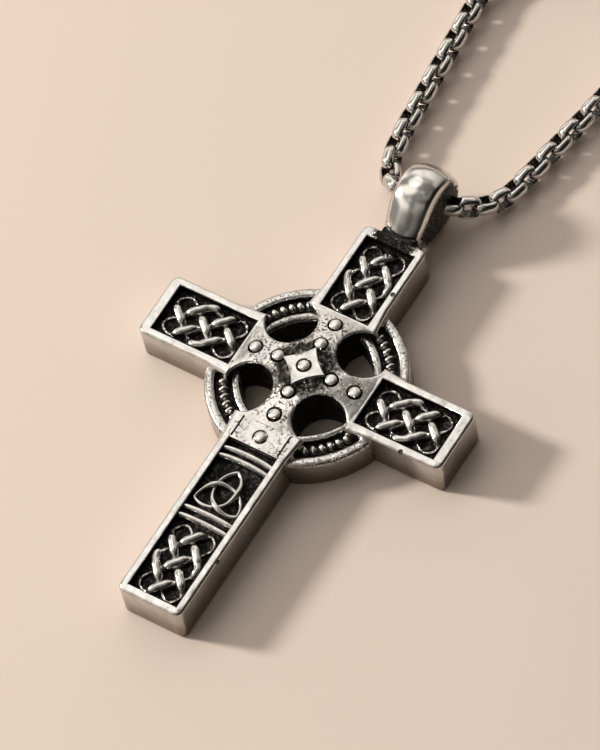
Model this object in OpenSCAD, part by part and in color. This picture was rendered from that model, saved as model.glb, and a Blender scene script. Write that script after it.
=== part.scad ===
// Ringed (celtic) cross pendant with a tulip bail and a box chain.
// It lies face up. The origin is on the flat back, under the crossing of the arms.
// +X runs along the right arm, +Y towards the bail and +Z out of the face.

/* [Cross] */
// Reach of each side arm from the centre
arm_reach = 17.15; // [15:0.05:22]
// Reach of the upper arm from the centre
head_reach = 17.0; // [15:0.05:22]
// Reach of the shaft below the centre
shaft_reach = 28.5; // [26:0.1:40]
// Width of an arm over its rims
arm_w = 7.1; // [6.6:0.1:8]
// Thickness from the back to the top of the rims
thick = 4.3; // [3.4:0.1:6]
// Width of the bevel along the top of a rim
bevel = 0.35; // [0.2:0.05:0.5]
// Radius of the arm ends' corners, seen from the front
end_r = 0.8; // [0.4:0.1:1.5]

/* [Panels] */
// Width of the flat rim around a panel, the bevel included
rim_w = 0.83; // [0.6:0.01:1]
// Depth of a panel below the rims
panel_depth = 0.85; // [0.5:0.05:1.4]
// Distance of an arm panel's inner end from the centre
panel_start = 7.1; // [6.8:0.1:8]
// Height of a knot's thin strands above the panel
strand_h = 0.4; // [0.2:0.05:0.6]
// Width of a knot's thin strands
strand_w = 0.34; // [0.2:0.02:0.5]
// Diameter of the round bars where a strand passes over
pass_d = 0.66; // [0.4:0.02:0.8]
// Length of those bars
pass_len = 2.2; // [1.6:0.1:2.4]

/* [Centre] */
// Radius of the four round openings
hole_r = 2.6; // [2:0.05:2.8]
// Distance of an opening's centre from each centre line
hole_at = 4.1; // [4:0.05:4.6]
// Height of the dome above the rims
dome_h = 0.75; // [0.3:0.05:1.2]
// Reach of the star's points from the centre
star_reach = 2.25; // [1.8:0.05:2.3]
// Height of the star above the dome
star_h = 0.15; // [0.05:0.05:0.4]
// Diameter of a boss
boss_d = 1.24; // [0.9:0.02:1.4]
// Height that a boss stands above the surface around it
boss_h = 0.36; // [0.2:0.02:0.5]
// Width of the groove around a boss
boss_groove = 0.14; // [0.08:0.02:0.2]

/* [Ring] */
// Inner radius of the ring
ring_in = 6.4; // [6.2:0.1:7]
// Outer radius of the ring
ring_out = 10.0; // [9.6:0.1:12]
// Depth of the ring's rims below the rims of the arms
ring_drop = 0.95; // [0.5:0.05:1.6]
// Width of the ring's inner rim
ring_rim_in = 0.9; // [0.6:0.05:1.1]
// Width of the ring's outer rim
ring_rim_out = 1.1; // [0.7:0.05:1.4]
// Depth of the groove between the ring's rims
ring_groove = 0.6; // [0.3:0.05:1]
// Angle from one bead of the ring to the next
bead_step = 6; // [6:0.5:9]
// Width of a bead, along the ring
bead_w = 0.52; // [0.4:0.02:0.6]
// Length of a bead, across the ring
bead_len = 0.86; // [0.7:0.02:1.1]

/* [Bail] */
// Outer radius of the bail's eye, at the middle of the band
eye_r = 3.75; // [3.5:0.05:4.5]
// Bulge of the band's middle over its edges
crown = 0.45; // [0.2:0.05:0.7]
// Radius of the opening in the eye
eye_open_r = 2.75; // [2.7:0.05:3]
// Width of the band around the eye
band_w = 4.6; // [3.6:0.1:5.5]
// Width of the band at its foot
foot_w = 3.9; // [3:0.1:4.5]
// Thickness of the foot, from the front leg to the back leg
foot_t = 2.6; // [2.2:0.1:3]
// Height of the eye's centre above the arm's end
eye_rise = 4.9; // [4.5:0.1:6]

/* [Chain] */
// Length of a link, end to end
link_len = 2.85; // [2.8:0.01:2.9]
// Height of a link across the chain
link_h = 2.36; // [2.3:0.02:2.4]
// Width of a link's band
link_w = 0.96; // [0.8:0.02:1.04]
// Thickness of a link's band
link_t = 0.5; // [0.45:0.01:0.52]
// Links that are drawn on the left of the bail's middle link
links_left = 18; // [12:1:20]
// Links that are drawn on the right of it
links_right = 13; // [10:1:16]
// Radius of the coil, at the middle of its outermost turn
coil_r = 14.3; // [12:0.1:16]
// Radius of the open middle of the coil
coil_hole = 6; // [5.8:0.1:8]

/* [Clasp] */
// Length of the clasp
clasp_len = 11.2; // [8:0.2:11.6]
// Width of the clasp
clasp_w = 4; // [3.4:0.1:5]
// Thickness of the clasp
clasp_t = 1.8; // [1.4:0.1:2.2]

/* [Hidden] */
$fn = 64;
eps = 0.01;
half_w = arm_w / 2;
floor_z = thick - panel_depth;
panel_w = arm_w - 2 * rim_w;
// An arm's panel ends short of the end rim's own width, and the end rim is that much wider
end_margin = 0.3;
dome_reach = panel_start;
dome_r = (pow(dome_reach, 2) + pow(dome_h, 2)) / (2 * dome_h);

// Lower shaft: a hammered plate, a band, two pairs of bars and two panels, from the top down
shaft_panel_top = 9.5;
bar_r = 0.27;
bar_sink = 0.07;
bar_places = [10.5, 11.4, 17.7, 18.7];
trefoil_mid = 15.1;
trefoil_r = 2.6;
shaft_knot_mid = (19.1 + shaft_reach - rim_w) / 2;

// A plait of one strand: two columns and three rows of crossings
knot_dx = 1.3;
knot_dy = 1.45;
turn_in = 0.35;
function arm_knot_mid(reach) = (panel_start + reach - rim_w - end_margin) / 2;

// The circles that hollow the star's sides, and their distance from the centre
star_side_r = star_reach * 0.92;
star_side_at = star_reach * 1.44;

ring_top = thick - ring_drop;
rim_round = 0.7;
bead_r = ring_in + ring_rim_in + (ring_out - ring_rim_out - ring_in - ring_rim_in) / 2;
bosses = [3.0, 5.6];
low_boss = 8.25;

bail_y = head_reach;
eye_y = bail_y + eye_rise;
eye_z = eye_r + 0.02;
foot_z = (thick - bevel) - foot_t / 2 - 0.1;
foot_len = 0.6;
// The opening's throat: half its height at the foot, and its two corners in the eye
throat_toe = 0.2;
throat_top = [-1.1, 2.45];
throat_low = [-1.5, -2.25];

// The chain's links are numbered from the one in the bail, to the left below zero and to the right
// above it. Each strand's lay is the heading of its links, going outwards from the bail.
link_play = 0.16;
pitch = link_len - 2 * link_t - link_play;
lay_right = [[0, 8], [1, 24], [2, 40], [3, 54], [4, 66], [5, 75], [6, 80], [12, 80], [14, 88], [20, 112]];
lay_left = [[0, 188], [1, 182], [2, 170], [3, 147], [4, 126], [5, 110], [6, 100], [8, 95], [17, 95],
            [21, 34], [26, 28], [31, 56]];
lean = 22.5;
rest_z = link_h / 2 * cos(lean) + link_w / 2 * sin(lean) + 0.03;
chain_r = norm([link_h, link_w]) / 2;
chain_y = eye_y + 0.75;
// The middle link lies a little right of the bail's middle, and hangs low enough to clear the eye
chain_x = 0.6;
eye_clear = 1.2;
bail_lift = eye_z - sqrt(pow(eye_open_r - chain_r, 2) - pow(eye_clear, 2)) - rest_z;
// The links over which a strand comes down from the bail to the table
step_down = 0.55;
drop_links = ceil(bail_lift / step_down);
run_right = 18;
run_left = 31;

function heading(side, k) = lookup(k, side > 0 ? lay_right : lay_left);
function place(side, k) = k == 0 ? [chain_x, chain_y]
    : place(side, k - 1) + pitch * [cos(heading(side, k - 0.5)), sin(heading(side, k - 0.5))];
function lift(k) = rest_z + lookup(k, [[1, bail_lift], [1 + drop_links, 0]]);

coil_at = place(1, run_right) + coil_r * [cos(heading(1, run_right) - 90), sin(heading(1, run_right) - 90)];

function link_name(i) = str("link_", i < 10 ? "0" : "", i);
link_count = links_left + 1 + links_right;

// ---- small helpers ----

// A flat rectangle with round corners
module round_rect(w, h, r) {
    square([w - 2 * r, h], center = true);
    square([w, h - 2 * r], center = true);
    for (x = [-1, 1], y = [-1, 1]) translate([x * (w / 2 - r), y * (h / 2 - r)]) circle(r);
}

// The outline of a bar's end view, from the back up, with bevelled top edges
module bar_section(w) {
    polygon([[-w / 2, 0], [w / 2, 0], [w / 2, thick - bevel], [w / 2 - bevel, thick],
             [-w / 2 + bevel, thick], [-w / 2, thick - bevel]]);
}

// A bar along Y from y0 to y1, bevelled along its sides and at its end y1
module beam(y0, y1) {
    intersection() {
        translate([0, y1, 0]) rotate([90, 0, 0]) linear_extrude(y1 - y0) bar_section(arm_w);
        translate([0, (y0 + y1) / 2, 0]) linear_extrude(thick) round_rect(arm_w, y1 - y0, end_r);
        translate([-arm_w / 2, y1 / 2, 0]) rotate([90, 0, 90]) linear_extrude(arm_w) bar_section(y1);
    }
}

// ---- the cross ----

module arms() {
    beam(-2, head_reach);
    rotate([0, 0, 180]) beam(-2, shaft_reach);
    for (a = [-90, 90]) rotate([0, 0, a]) beam(-2, arm_reach);
}

// The ring's end view: a body with two round rims and a groove between them
module ring_section() {
    translate([ring_in, 0]) square([ring_out - ring_in, ring_top - ring_groove]);
    for (rim = [[ring_in, ring_rim_in], [ring_out - ring_rim_out, ring_rim_out]])
        intersection() {
            translate([rim[0], 0]) square([rim[1], ring_top]);
            translate([rim[0] + rim[1] / 2, ring_top - rim[1] * rim_round]) circle(rim[1] * rim_round);
        }
}

module ring() {
    rotate_extrude() ring_section();
    for (q = [0 : 3], i = [-2.5 : 2.5]) rotate([0, 0, 45 + q * 90 + i * bead_step])
        translate([bead_r, 0, ring_top - ring_groove]) bead();
}

module bead() {
    half = (bead_len - bead_w) / 2;
    for (s = [-1, 1]) translate([s * half, 0, bead_w * 0.2]) sphere(bead_w / 2, $fn = 24);
    translate([-half, 0, bead_w * 0.2]) rotate([0, 90, 0]) cylinder(r = bead_w / 2, h = 2 * half);
}

// The domed middle, which takes in the necks of the four arms
module dome() {
    intersection() {
        translate([0, 0, thick + dome_h - dome_r]) sphere(dome_r, $fn = 128);
        linear_extrude(thick + dome_h)
            for (a = [0, 90]) rotate(a) square([arm_w - 2 * bevel, 2 * dome_reach], center = true);
    }
}

module openings() {
    for (x = [-1, 1], y = [-1, 1]) translate([x * hole_at, y * hole_at, -eps])
        cylinder(r = hole_r, h = thick + dome_h + 2 * eps);
}

function dome_z(r) = thick + dome_h - dome_r + sqrt(dome_r * dome_r - r * r);

// A four-pointed star with hollow sides
module star_outline() {
    difference() {
        rotate(45) square(star_reach * sqrt(2), center = true);
        for (a = [45 : 90 : 315]) rotate(a) translate([star_side_at, 0]) circle(star_side_r);
    }
}

module star() {
    intersection() {
        translate([0, 0, thick + dome_h + star_h - dome_r]) sphere(dome_r, $fn = 128);
        translate([0, 0, thick]) linear_extrude(dome_h + star_h) star_outline();
    }
}

function boss_ball() = (pow(boss_d / 2, 2) + pow(boss_h, 2)) / (2 * boss_h);

module boss_at_place(r, a) {
    rotate([0, 0, a]) translate([0, r, 0]) children();
}

module all_boss_places() {
    for (a = [0 : 90 : 270], r = bosses) boss_at_place(r, a) translate([0, 0, dome_z(r)]) children();
    boss_at_place(low_boss, 180) translate([0, 0, thick]) children();
    translate([0, 0, thick + dome_h + star_h]) children();
}

module boss() {
    translate([0, 0, boss_h - boss_ball()]) sphere(boss_ball(), $fn = 32);
}

module boss_ring() {
    difference() {
        translate([0, 0, -boss_groove]) cylinder(d = boss_d + 2 * boss_groove, h = 1);
        translate([0, 0, -1]) cylinder(d = boss_d, h = 3);
    }
}

// The sunk panels in the arms and the shaft
module panel(y0, y1) {
    translate([-panel_w / 2, y0, floor_z]) cube([panel_w, y1 - y0, thick]);
}

module panels() {
    panel(panel_start, head_reach - rim_w - end_margin);
    for (a = [-90, 90]) rotate([0, 0, a]) panel(panel_start, arm_reach - rim_w - end_margin);
    rotate([0, 0, 180]) panel(shaft_panel_top, shaft_reach - rim_w);
}

// One plaited knot, along Y, with its middle at the origin and its foot on the panel
module knot() {
    linear_extrude(strand_h) knot_outline();
    for (i = [0, 1, -1], j = [-2 : 2])
        if ((i + j) % 2 == 0 && abs(i) + abs(j) <= 2)
            translate([i * knot_dx, j * knot_dy, strand_h]) rotate([0, 0, i == 0 ? -42 : 42]) over_pass();
}

module over_pass() {
    translate([0, pass_len / 2, 0]) rotate([90, 0, 0]) cylinder(d = pass_d, h = pass_len, $fn = 24);
    for (s = [-1, 1]) translate([0, s * pass_len / 2, 0]) sphere(d = pass_d, $fn = 24);
}

// Where the strand turns at a border, its corner is drawn in by turn_in
function knot_point(i, j) = [(abs(i) == 2 ? 2 * knot_dx - turn_in : abs(i) * knot_dx) * sign(i),
                             (abs(j) == 3 ? 3 * knot_dy - turn_in : abs(j) * knot_dy) * sign(j)];

module strand(a, b) {
    d = b - a;
    translate(a) rotate(atan2(d.y, d.x)) translate([0, -strand_w / 2]) square([norm(d), strand_w]);
    translate(b) circle(d = strand_w, $fn = 24);
    translate(a) circle(d = strand_w, $fn = 24);
}

module knot_outline() {
    for (i = [-2 : 1], j = [-3 : 2]) {
        if ((i + j) % 2 == 0) strand(knot_point(i, j), knot_point(i + 1, j + 1));
        else strand(knot_point(i + 1, j), knot_point(i, j + 1));
    }
}

// Three linked arcs
module trefoil_outline() {
    centres = [for (a = [30, 150, 270]) trefoil_r / sqrt(3) * [cos(a), sin(a)]];
    for (k = [0 : 2]) intersection() {
        translate(centres[k]) difference() {
            circle(trefoil_r + strand_w / 2);
            circle(trefoil_r - strand_w / 2);
        }
        union() for (m = [1, 2]) translate(centres[(k + m) % 3]) circle(trefoil_r + strand_w / 2);
    }
}

module relief() {
    translate([0, arm_knot_mid(head_reach), floor_z]) knot();
    for (a = [-90, 90]) rotate([0, 0, a]) translate([0, arm_knot_mid(arm_reach), floor_z]) knot();
    translate([0, -shaft_knot_mid, floor_z]) knot();
    for (y = bar_places) translate([-panel_w / 2, -y, floor_z + bar_r - bar_sink]) rotate([0, 90, 0])
        cylinder(r = bar_r, h = panel_w);
    translate([0, -trefoil_mid, floor_z]) linear_extrude(strand_h + 0.15) trefoil_outline();
}

module cross() {
    color("silver") difference() {
        union() {
            difference() {
                union() {
                    arms();
                    dome();
                }
                openings();
                panels();
            }
            ring();
            relief();
            star();
        }
        all_boss_places() boss_ring();
    }
    color("silver") all_boss_places() boss();
}

// ---- the bail ----

// A round band on the X axis, with its outer face bulged by the crown
module barrel() {
    curve_r = (pow(band_w / 2, 2) + pow(crown, 2)) / (2 * crown);
    rotate([0, 90, 0]) rotate_extrude($fn = 32) intersection() {
        translate([eye_r - curve_r, 0]) circle(curve_r);
        translate([0, -band_w / 2]) square([eye_r, band_w]);
    }
}

module bail() {
    color("gainsboro") difference() {
        hull() {
            translate([0, eye_y, eye_z]) barrel();
            translate([-foot_w / 2, bail_y, foot_z - foot_t / 2]) cube([foot_w, foot_len, foot_t]);
        }
        translate([0, eye_y, eye_z]) rotate([0, 90, 0])
            cylinder(r = eye_open_r, h = 2 * band_w, center = true);
        eye_throat();
    }
}

// The opening narrows from the eye towards the foot
module eye_throat() {
    toe = bail_y + 2 * foot_len;
    translate([-band_w, 0, 0]) rotate([90, 0, 90]) linear_extrude(2 * band_w)
        polygon([[toe, foot_z - throat_toe], [toe, foot_z + throat_toe], [eye_y, eye_z] + throat_top,
                 [eye_y, eye_z], [eye_y, eye_z] + throat_low]);
}

// ---- the chain ----

// A closed ring of flat band, in the XZ plane
module link_ring() {
    intersection() {
        rotate([90, 0, 0]) linear_extrude(link_w, center = true) difference() {
            round_rect(link_len, link_h, 0.8);
            round_rect(link_len - 2 * link_t, link_h - 2 * link_t, 0.25);
        }
        rotate([90, 0, 90]) linear_extrude(link_len, center = true) round_rect(link_w, link_h, 0.3);
        linear_extrude(link_h, center = true) round_rect(link_len, link_w, 0.3);
    }
}

// Neighbours stand square to each other, and the strand turns a little inside the bail
function roll(k) = 67.5 + 90 * k - lookup(k, [[-4, 0], [1, 45]]);

module link(k) {
    side = k < 0 ? -1 : 1;
    n = abs(k);
    slope = atan((lift(n + 0.5) - lift(n - 0.5)) / pitch) * side;
    turn = k == 0 ? 8 : heading(side, n) + (side < 0 ? 180 : 0);
    color("silver") translate([each place(side, n), lift(n)])
        rotate([0, -slope, turn]) rotate([-roll(k), 0, 0]) link_ring();
}

// The wound part of the chain, as its outer shape: two layers, and the two runs that lead into it
module chain_coil() {
    color("silver") {
        translate([each coil_at, 0]) difference() {
            cylinder(r = coil_r + link_h / 2, h = 2 * link_h, $fn = 96);
            translate([0, 0, -eps]) cylinder(r = coil_hole, h = 2 * link_h + 2 * eps, $fn = 96);
        }
        run(1, links_right + 1, run_right);
        run(-1, links_left + 1, run_left);
    }
}

module run(side, from, to) {
    linear_extrude(link_h) for (k = [from : to - 1]) {
        a = place(side, k);
        d = place(side, k + 1) - a;
        translate(a) {
            if (k > from) circle(d = link_h, $fn = 32);
            rotate(atan2(d.y, d.x)) translate([0, -link_h / 2]) square([norm(d), link_h]);
        }
    }
}

// A flat snap clasp, which joins the chain's two ends inside the coil
module clasp() {
    color("gainsboro") translate([each coil_at, 0]) linear_extrude(clasp_t) difference() {
        round_rect(clasp_len, clasp_w, clasp_w / 2 - eps);
        translate([clasp_len * 0.12, 0]) round_rect(clasp_len * 0.5, clasp_w * 0.5, clasp_w * 0.25 - eps);
        translate([-clasp_len * 0.38, 0]) circle(d = clasp_w * 0.35);
    }
}

cross();
bail();
chain_coil();
clasp();
for (i = [1 : link_count]) link(i - links_left - 1);
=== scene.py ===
# %% [markdown]
# # A ringed cross pendant on a box chain
#
# The pendant is one steel casting, with a polished bail soldered to its upper arm and a box
# chain of separate links through the bail. It lies face up on a table.
#
# The frame holds the exact solids, which give every piece its size and place. This lesson
# builds the looks over them: a casting with soft edges, sunken panels and plaited strands,
# a domed bail, links with pillow-like bands, the black finish that stays in the recesses,
# and painted shade that blackens the inside of the bail and the links.

# %% Load the frame
import math
import random

import bpy
from mathutils import Matrix, Vector


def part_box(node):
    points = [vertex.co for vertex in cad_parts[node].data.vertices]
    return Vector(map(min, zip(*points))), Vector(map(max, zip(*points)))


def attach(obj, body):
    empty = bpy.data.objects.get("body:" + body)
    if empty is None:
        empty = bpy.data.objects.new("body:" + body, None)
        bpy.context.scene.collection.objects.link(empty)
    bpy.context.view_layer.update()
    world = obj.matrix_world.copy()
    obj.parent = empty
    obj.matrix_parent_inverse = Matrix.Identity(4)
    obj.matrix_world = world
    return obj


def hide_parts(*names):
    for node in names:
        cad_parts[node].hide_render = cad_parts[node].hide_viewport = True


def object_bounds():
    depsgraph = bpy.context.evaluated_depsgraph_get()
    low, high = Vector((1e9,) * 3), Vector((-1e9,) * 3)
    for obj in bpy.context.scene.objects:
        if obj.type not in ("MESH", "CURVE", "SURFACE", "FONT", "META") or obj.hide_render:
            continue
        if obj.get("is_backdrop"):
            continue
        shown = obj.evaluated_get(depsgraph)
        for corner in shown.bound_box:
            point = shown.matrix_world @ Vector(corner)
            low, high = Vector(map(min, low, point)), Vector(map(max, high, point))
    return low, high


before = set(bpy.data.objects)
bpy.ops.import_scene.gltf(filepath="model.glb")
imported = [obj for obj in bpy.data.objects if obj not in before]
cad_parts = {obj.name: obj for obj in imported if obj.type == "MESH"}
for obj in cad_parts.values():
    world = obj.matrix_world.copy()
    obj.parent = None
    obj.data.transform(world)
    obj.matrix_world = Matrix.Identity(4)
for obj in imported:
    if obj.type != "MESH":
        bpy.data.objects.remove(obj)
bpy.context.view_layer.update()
print("the frame has", len(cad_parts), "nodes")

# %% [markdown]
# ## Small tools
#
# Everything below is thought out in millimetres, as a jeweller would, and Blender works in
# metres, so one value turns one into the other. The helpers wrap what a hand does all the
# time: add a block, look at only one object, pick some faces or edges, slice and bevel.
# Picking goes by place, so that it still works when a size changes.

# %% Adding a block
MM = 0.001


def look_at_only(piece):
    if bpy.context.object and bpy.context.object.mode != "OBJECT":
        bpy.ops.object.mode_set(mode="OBJECT")
    bpy.ops.object.select_all(action="DESELECT")
    if piece:
        piece.select_set(True)
        bpy.context.view_layer.objects.active = piece


def settled(name, place, turn=(0, 0, 0), scale=(1, 1, 1)):
    """Names and places the primitive that was just added, and moves its place into its mesh."""
    piece = bpy.context.object
    piece.name = name
    piece.data.name = name
    piece.location = place
    piece.rotation_euler = [math.radians(a) for a in turn]
    piece.scale = scale
    bpy.ops.object.transform_apply(location=True, rotation=True, scale=True)
    return piece


def block(name, low, high):
    look_at_only(None)
    bpy.ops.mesh.primitive_cube_add(size=1)
    middle = [(a + b) / 2 * MM for a, b in zip(low, high)]
    return settled(name, middle, scale=[(b - a) * MM for a, b in zip(low, high)])


# %% Picking, slicing and rounding
def edit(piece):
    look_at_only(piece)
    bpy.ops.object.mode_set(mode="EDIT")
    bpy.ops.mesh.select_all(action="SELECT")


def done():
    bpy.ops.object.mode_set(mode="OBJECT")


def pick(piece, kind, test):
    """Goes into edit mode with only the faces, edges or vertices that pass the test."""
    edit(piece)
    bpy.ops.mesh.select_mode(type=kind)
    bpy.ops.mesh.select_all(action="DESELECT")
    done()
    mesh = piece.data
    spots = [v.co / MM for v in mesh.vertices]
    if kind == "FACE":
        for face in mesh.polygons:
            face.select = test(face.center / MM, face.normal)
    if kind == "EDGE":
        for edge in mesh.edges:
            edge.select = test(spots[edge.vertices[0]], spots[edge.vertices[1]])
    if kind == "VERT":
        for vertex in mesh.vertices:
            vertex.select = test(spots[vertex.index])
    bpy.ops.object.mode_set(mode="EDIT")


def slice_along(piece, axis, places):
    """Cuts new edge lines across the whole mesh, square to one axis."""
    edit(piece)
    normal = [1.0 if axis == i else 0.0 for i in range(3)]
    for place in places:
        bpy.ops.mesh.select_all(action="SELECT")
        bpy.ops.mesh.bisect(plane_co=[place * MM * n for n in normal], plane_no=normal)
    done()


def round_edges(piece, width, steps, test):
    pick(piece, "EDGE", test)
    bpy.ops.mesh.bevel(offset=width * MM, segments=steps, affect="EDGES")
    done()


# %% Reshaping by a rule, and shading
def reshape(piece, rule):
    """Moves each vertex to where the rule, which speaks in millimetres, sends it."""
    for vertex in piece.data.vertices:
        vertex.co = Vector(rule(vertex.co / MM)) * MM


def shade(piece, degrees):
    look_at_only(piece)
    bpy.ops.object.shade_smooth_by_angle(angle=math.radians(degrees))


def count_faces(piece):
    print(piece.name, "has", len(piece.data.polygons), "faces")


def ramp(value, low, high):
    """0 below low, 1 above high, and a soft slope between."""
    t = min(1.0, max(0.0, (value - low) / (high - low)))
    return t * t * (3 - 2 * t)


# %% [markdown]
# ## Two attributes for the finish
#
# On the real casting a black oxide fills every recess and is polished off the high places,
# and the middle is pitted where the mould was rough. Both could be painted, but each shell
# knows its own heights, so a short rule per shell writes them as attributes: "tarnish_and_shade"
# for the black, and "pitting" for the roughness. The black is also painted shade: partly on
# the walls of the deep holes, and wholly inside the bail and the links. The material reads
# them later.

# %% Writing the attributes
def finish_rule(piece, tarnish_and_shade, pitting=0.0):
    """Takes a rule for each attribute, or one number for the pitting of the whole piece."""
    mesh = piece.data
    for name in ("tarnish_and_shade", "pitting"):
        if name not in mesh.attributes:
            mesh.attributes.new(name, "FLOAT", "POINT")
    for vertex in mesh.vertices:
        place = vertex.co / MM
        mesh.attributes["tarnish_and_shade"].data[vertex.index].value = float(tarnish_and_shade(place))
        rough = pitting(place) if callable(pitting) else pitting
        mesh.attributes["pitting"].data[vertex.index].value = rough


# %% [markdown]
# ## Sizes
#
# The outer sizes come from the frame. The others are the named values of the part's own
# source, and only the flare of the arms' inner corners is added here.

# %% Sizes of the cross
cross_low, cross_high = (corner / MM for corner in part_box("cross"))
arm_reach = cross_high.x
head_reach = cross_high.y
shaft_reach = -cross_low.y
thick = 4.3
half_w = 3.55
flare_w = 3.85
end_r = 0.8
rim_w = 0.83
end_margin = 0.3
panel_half = half_w - rim_w
panel_start = 7.1
shaft_panel_top = 9.5
floor_z = thick - 0.85
arm_start = 6.75
flare_end = 9.4
hole_r = 2.6
hole_at = 4.1
dome_h = 0.75
dome_reach = 7.1
dome_r = (dome_reach ** 2 + dome_h ** 2) / (2 * dome_h)
dome_end = 8.2
print("the cross is", round(head_reach + shaft_reach, 2), "mm tall")


def dome_rise(r):
    """Height of the dome over the rims, at a distance r from the middle."""
    return dome_h - dome_r + math.sqrt(dome_r ** 2 - min(r, dome_end) ** 2)


# %% [markdown]
# ## The arms
#
# Each arm is a bar with a sunken panel. It could be a stack of frame pieces, but a block
# with a tray pushed into its top keeps the rim in one surface, as in the casting. The block
# is sliced along the panel's borders, the faces inside are pushed down by an extrusion, and
# then the corners and edges are rounded. The inner corners flare out where the real arms
# meet the ring.

# %% A maker for arms
def in_box(spot, low, high):
    return low[0] < spot.x < high[0] and low[1] < spot.y < high[1]


def make_arm(name, reach, trays):
    """An arm along +Y. A tray is (x low, y low, x high, y high) of a sunken area."""
    arm = block(name, (-half_w, arm_start, 0), (half_w, reach, thick))
    lines_x = sorted({tray[i] for tray in trays for i in (0, 2)})
    lines_y = sorted({tray[i] for tray in trays for i in (1, 3)})
    slice_along(arm, 0, lines_x)
    slice_along(arm, 1, lines_y + [flare_end])

    def in_tray(spot, normal):
        return normal.z > 0.9 and any(in_box(spot, t[:2], t[2:]) for t in trays)

    pick(arm, "FACE", in_tray)
    sunk = (0, 0, (floor_z - thick) * MM)
    bpy.ops.mesh.extrude_region_move(TRANSFORM_OT_translate={"value": sunk})
    done()

    def at_end_corner(a, b):
        upright = abs(a.z - b.z) > 1 and abs(a.x) > half_w - 0.01
        return upright and min(a.y, b.y) > reach - 0.01

    round_edges(arm, end_r, 6, at_end_corner)

    def on_outline(a, b):
        near_side = all(abs(p.x) > half_w - 0.3 or p.y > reach - 0.5 for p in (a, b))
        return near_side and a.y + b.y > 2 * arm_start + 0.1

    def along_top(a, b):
        return min(a.z, b.z) > thick - 0.01 and on_outline(a, b)

    def along_foot(a, b):
        return max(a.z, b.z) < 0.01 and on_outline(a, b)

    def along_tray(a, b):
        level = min(a.z, b.z) > thick - 0.01
        beside = max(a.y, b.y) < reach - rim_w + 0.01 and min(a.y, b.y) > trays[0][1] - 0.01
        border = all(abs(abs(p.x) - panel_half) < 0.01 for p in (a, b))
        return level and border and beside

    round_edges(arm, 0.3, 4, along_top)
    round_edges(arm, 0.3, 3, along_foot)
    round_edges(arm, 0.09, 2, along_tray)

    def flare(p):
        share = min(1.0, max(0.0, (flare_end - p.y) / (flare_end - arm_start)))
        wider = (flare_w - half_w) * share * ramp(abs(p.x), panel_half, half_w)
        return p.x + math.copysign(wider, p.x), p.y, p.z

    reshape(arm, flare)

    def black_tray(p):
        near = 0.03
        within = any(in_box(p, (x_low - near, y_low - near), (x_high + near, y_high + near))
                     for x_low, y_low, x_high, y_high in trays)
        return 1.0 if within and thick / 2 < p.z < thick - near else 0.0

    def pitted_start(p):
        return 0.9 if p.y < trays[0][1] - 0.05 and abs(p.x) < panel_half else 0.12

    finish_rule(arm, black_tray, pitted_start)
    shade(arm, 40)
    return arm


# %% The three short arms and the shaft
def turn_by(degrees, axis="Z"):
    return Matrix.Rotation(math.radians(degrees), 4, axis)


def shift_by(offset):
    return Matrix.Translation(Vector(offset) * MM)


def copied(piece, name, *moves):
    """A copy with a mesh of its own, moved by each matrix in turn."""
    copy = bpy.data.objects.new(name, piece.data.copy())
    bpy.context.collection.objects.link(copy)
    copy.data.name = name
    for move in moves:
        copy.data.transform(move)
    return copy


def short_tray(reach):
    return [(-panel_half, panel_start, panel_half, reach - rim_w - end_margin)]


side_arm = make_arm("side_arm", arm_reach, short_tray(arm_reach))
arms = [make_arm("upper_arm", head_reach, short_tray(head_reach))]
arms += [copied(side_arm, "arm_at", turn_by(turn)) for turn in (90, -90)]
bpy.data.objects.remove(side_arm)

slot_in = panel_half - 0.2
shaft_trays = [(-panel_half, shaft_panel_top, panel_half, shaft_reach - rim_w)]
shaft_trays += [(-panel_half, arm_start + 0.15, -slot_in, shaft_panel_top - 0.15),
                (slot_in, arm_start + 0.15, panel_half, shaft_panel_top - 0.15)]
shaft = make_arm("shaft", shaft_reach, shaft_trays)
shaft.data.transform(turn_by(180))
arms.append(shaft)
print("made", len(arms), "arms with", sum(len(a.data.polygons) for a in arms), "faces")

# %% [markdown]
# ## Three casting pits
#
# The real rims have three small round pits where gas was caught in the mould. They are part
# of the piece's character, so they are drilled with little balls. The casting's material
# blackens them by their place.

# %% Rods, balls and cutting away
def rod(name, at, radius, depth, turn=(0, 0, 0), sides=64):
    look_at_only(None)
    bpy.ops.mesh.primitive_cylinder_add(vertices=sides, radius=radius * MM, depth=depth * MM)
    return settled(name, Vector(at) * MM, turn)


def ball(name, at, radii, turn=0, around=24, rings=12):
    look_at_only(None)
    bpy.ops.mesh.primitive_uv_sphere_add(segments=around, ring_count=rings, radius=MM)
    return settled(name, Vector(at) * MM, (0, 0, turn), radii)


def apply_modifier(piece, kind, **settings):
    look_at_only(piece)
    modifier = piece.modifiers.new(kind.lower(), kind)
    for name, value in settings.items():
        setattr(modifier, name, value)
    bpy.ops.object.modifier_apply(modifier=modifier.name)


def cut_away(piece, *cutters):
    for cutter in cutters:
        apply_modifier(piece, "BOOLEAN", operation="DIFFERENCE", object=cutter, solver="EXACT")
        bpy.data.objects.remove(cutter)


# %% The pits
pit_r = 0.25
pits = [(arms[0], (3.08, 11.2, 4.3)), (arms[2], (12.8, -3.42, 4.2)), (shaft, (3.48, -21.6, 4.0))]
for arm, spot in pits:
    cut_away(arm, ball("pit", spot, (pit_r, pit_r, pit_r), around=12, rings=8))
print("drilled", len(pits), "pits")

# %% [markdown]
# ## The domed middle
#
# The four round openings leave a saltire-shaped plate with hollow sides, which rises to a
# low dome. A dome cut by holes gives ragged edges, so it is made flat first: a plate, four
# holes and the corners cut away, the edges rounded while they are simple, shallow round
# recesses for the bosses, and only then sliced into a net and lifted by the dome's formula.

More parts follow.
